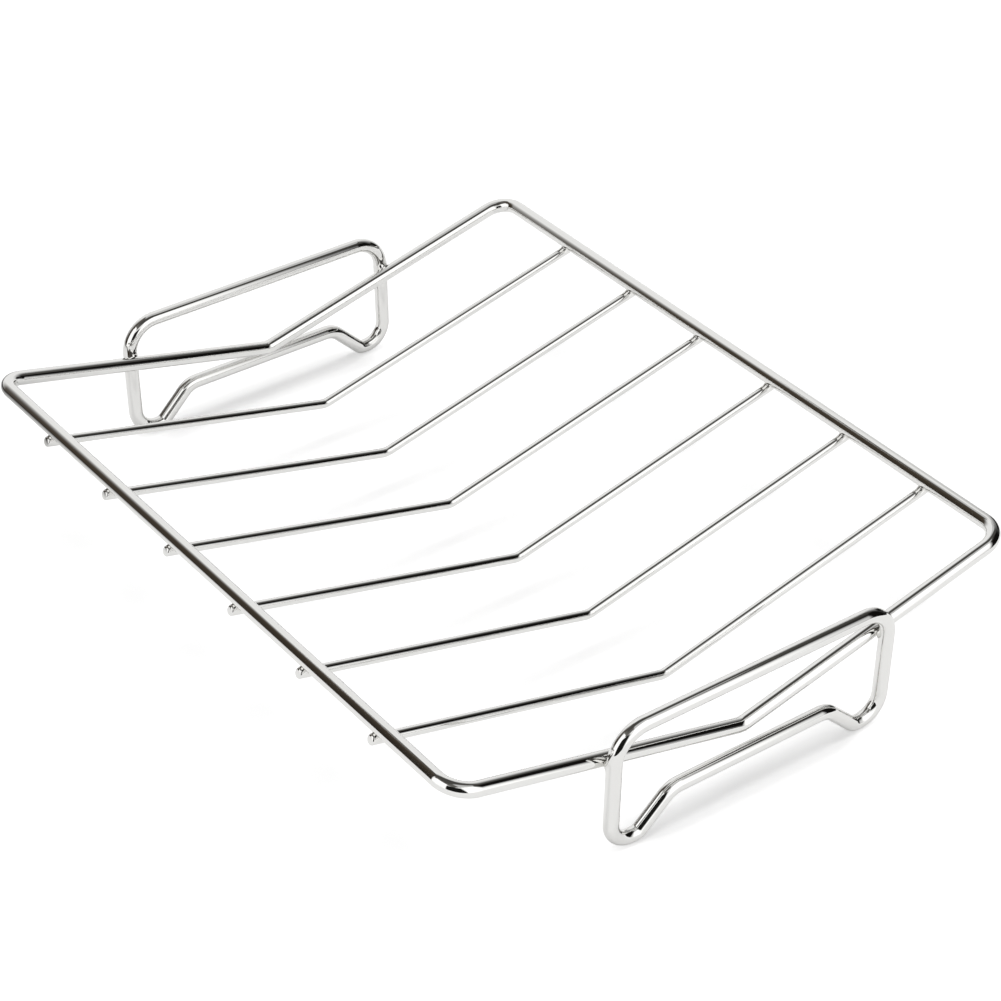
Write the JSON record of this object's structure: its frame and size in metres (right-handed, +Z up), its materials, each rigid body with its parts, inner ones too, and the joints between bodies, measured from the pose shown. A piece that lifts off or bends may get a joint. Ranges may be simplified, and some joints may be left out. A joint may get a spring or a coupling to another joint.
{
  "type": "roasting rack",
  "caption": "Welded round-wire rack with a shallow V cradle for a roast, standing on an upright wire loop at each end that is handle and legs in one.",
  "frame": {"origin": "on the table under the middle of the rack", "axes": "+X along the rack from one end loop to the other, +Y across it along the V, +Z up"},
  "size_m": [0.3396, 0.2646, 0.0586],
  "materials": {
    "frame_wire": "bright plated round wire",
    "cross_wire": "bright plated round wire"
  },
  "bodies": {
    "root": {"rim_wire": "frame_wire", "cross_wire_1": "cross_wire", "cross_wire_2": "cross_wire", "cross_wire_3": "cross_wire", "cross_wire_4": "cross_wire", "cross_wire_5": "cross_wire", "cross_wire_6": "cross_wire", "right_end_loop": "frame_wire", "left_end_loop": "frame_wire"}
  },
  "joints": []
}
